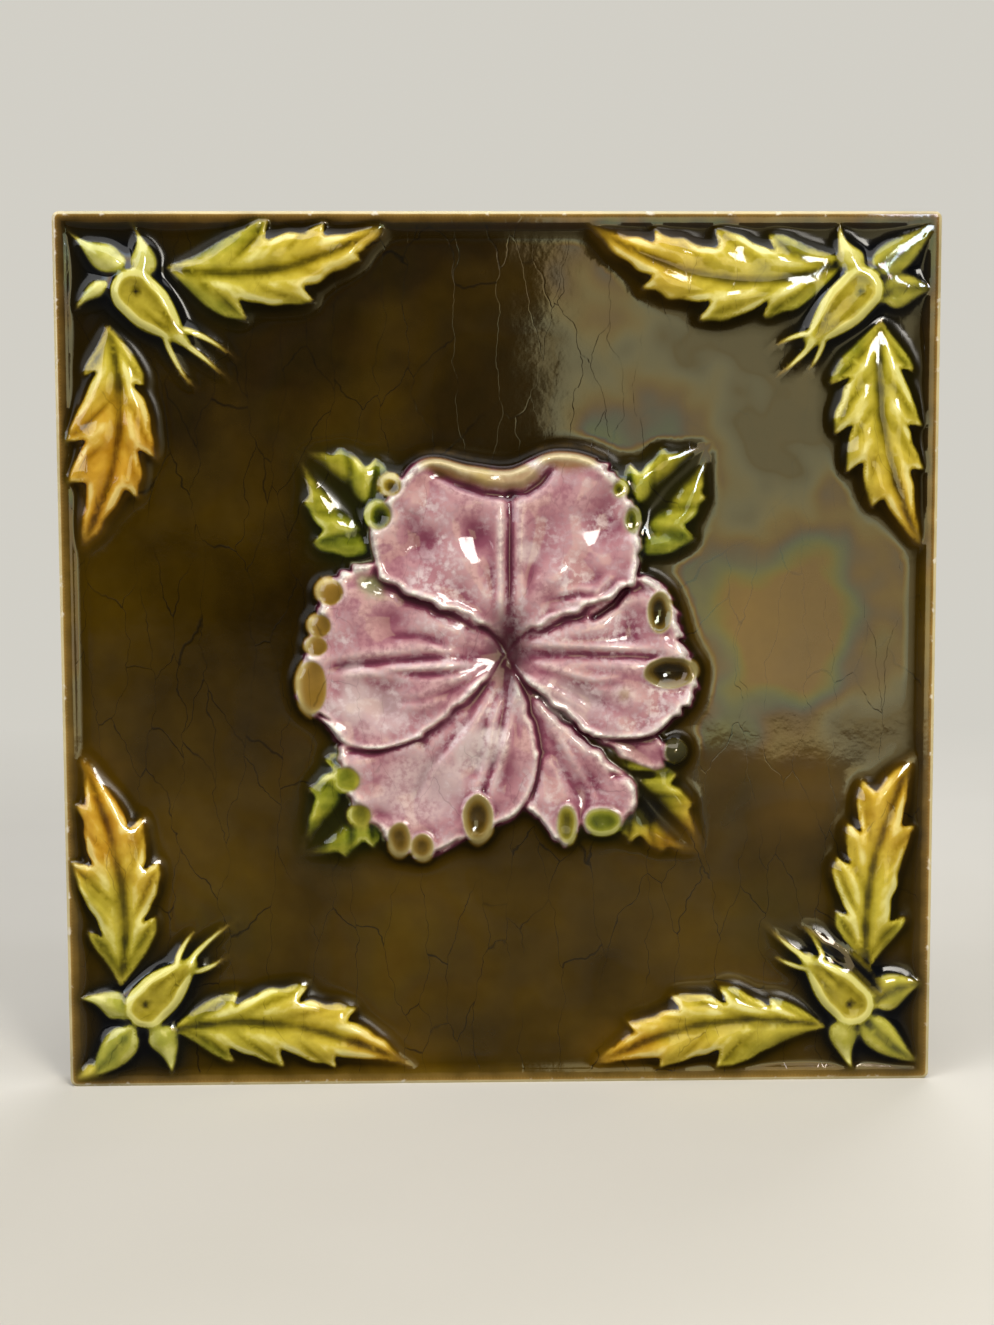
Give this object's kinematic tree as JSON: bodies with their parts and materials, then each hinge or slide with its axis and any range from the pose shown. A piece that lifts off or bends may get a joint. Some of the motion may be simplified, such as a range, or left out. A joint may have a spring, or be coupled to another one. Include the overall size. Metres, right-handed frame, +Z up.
{
  "type": "relief tile",
  "caption": "Square relief-moulded wall tile with a raised rim, an open ruffled flower at the centre and leaf and bud sprays in the corners.",
  "frame": {"origin": "centre of the flat back, which lies against the wall", "axes": "+Y runs into the wall, the face looks towards -Y, +Z is up, +X is to the right seen from the front"},
  "size_m": [0.152, 0.0123, 0.152],
  "materials": {
    "majolica_glaze": "high gloss translucent coloured glazes over pressed buff clay, crazed"
  },
  "bodies": {
    "root": {"relief_tile": "majolica_glaze"}
  },
  "joints": []
}
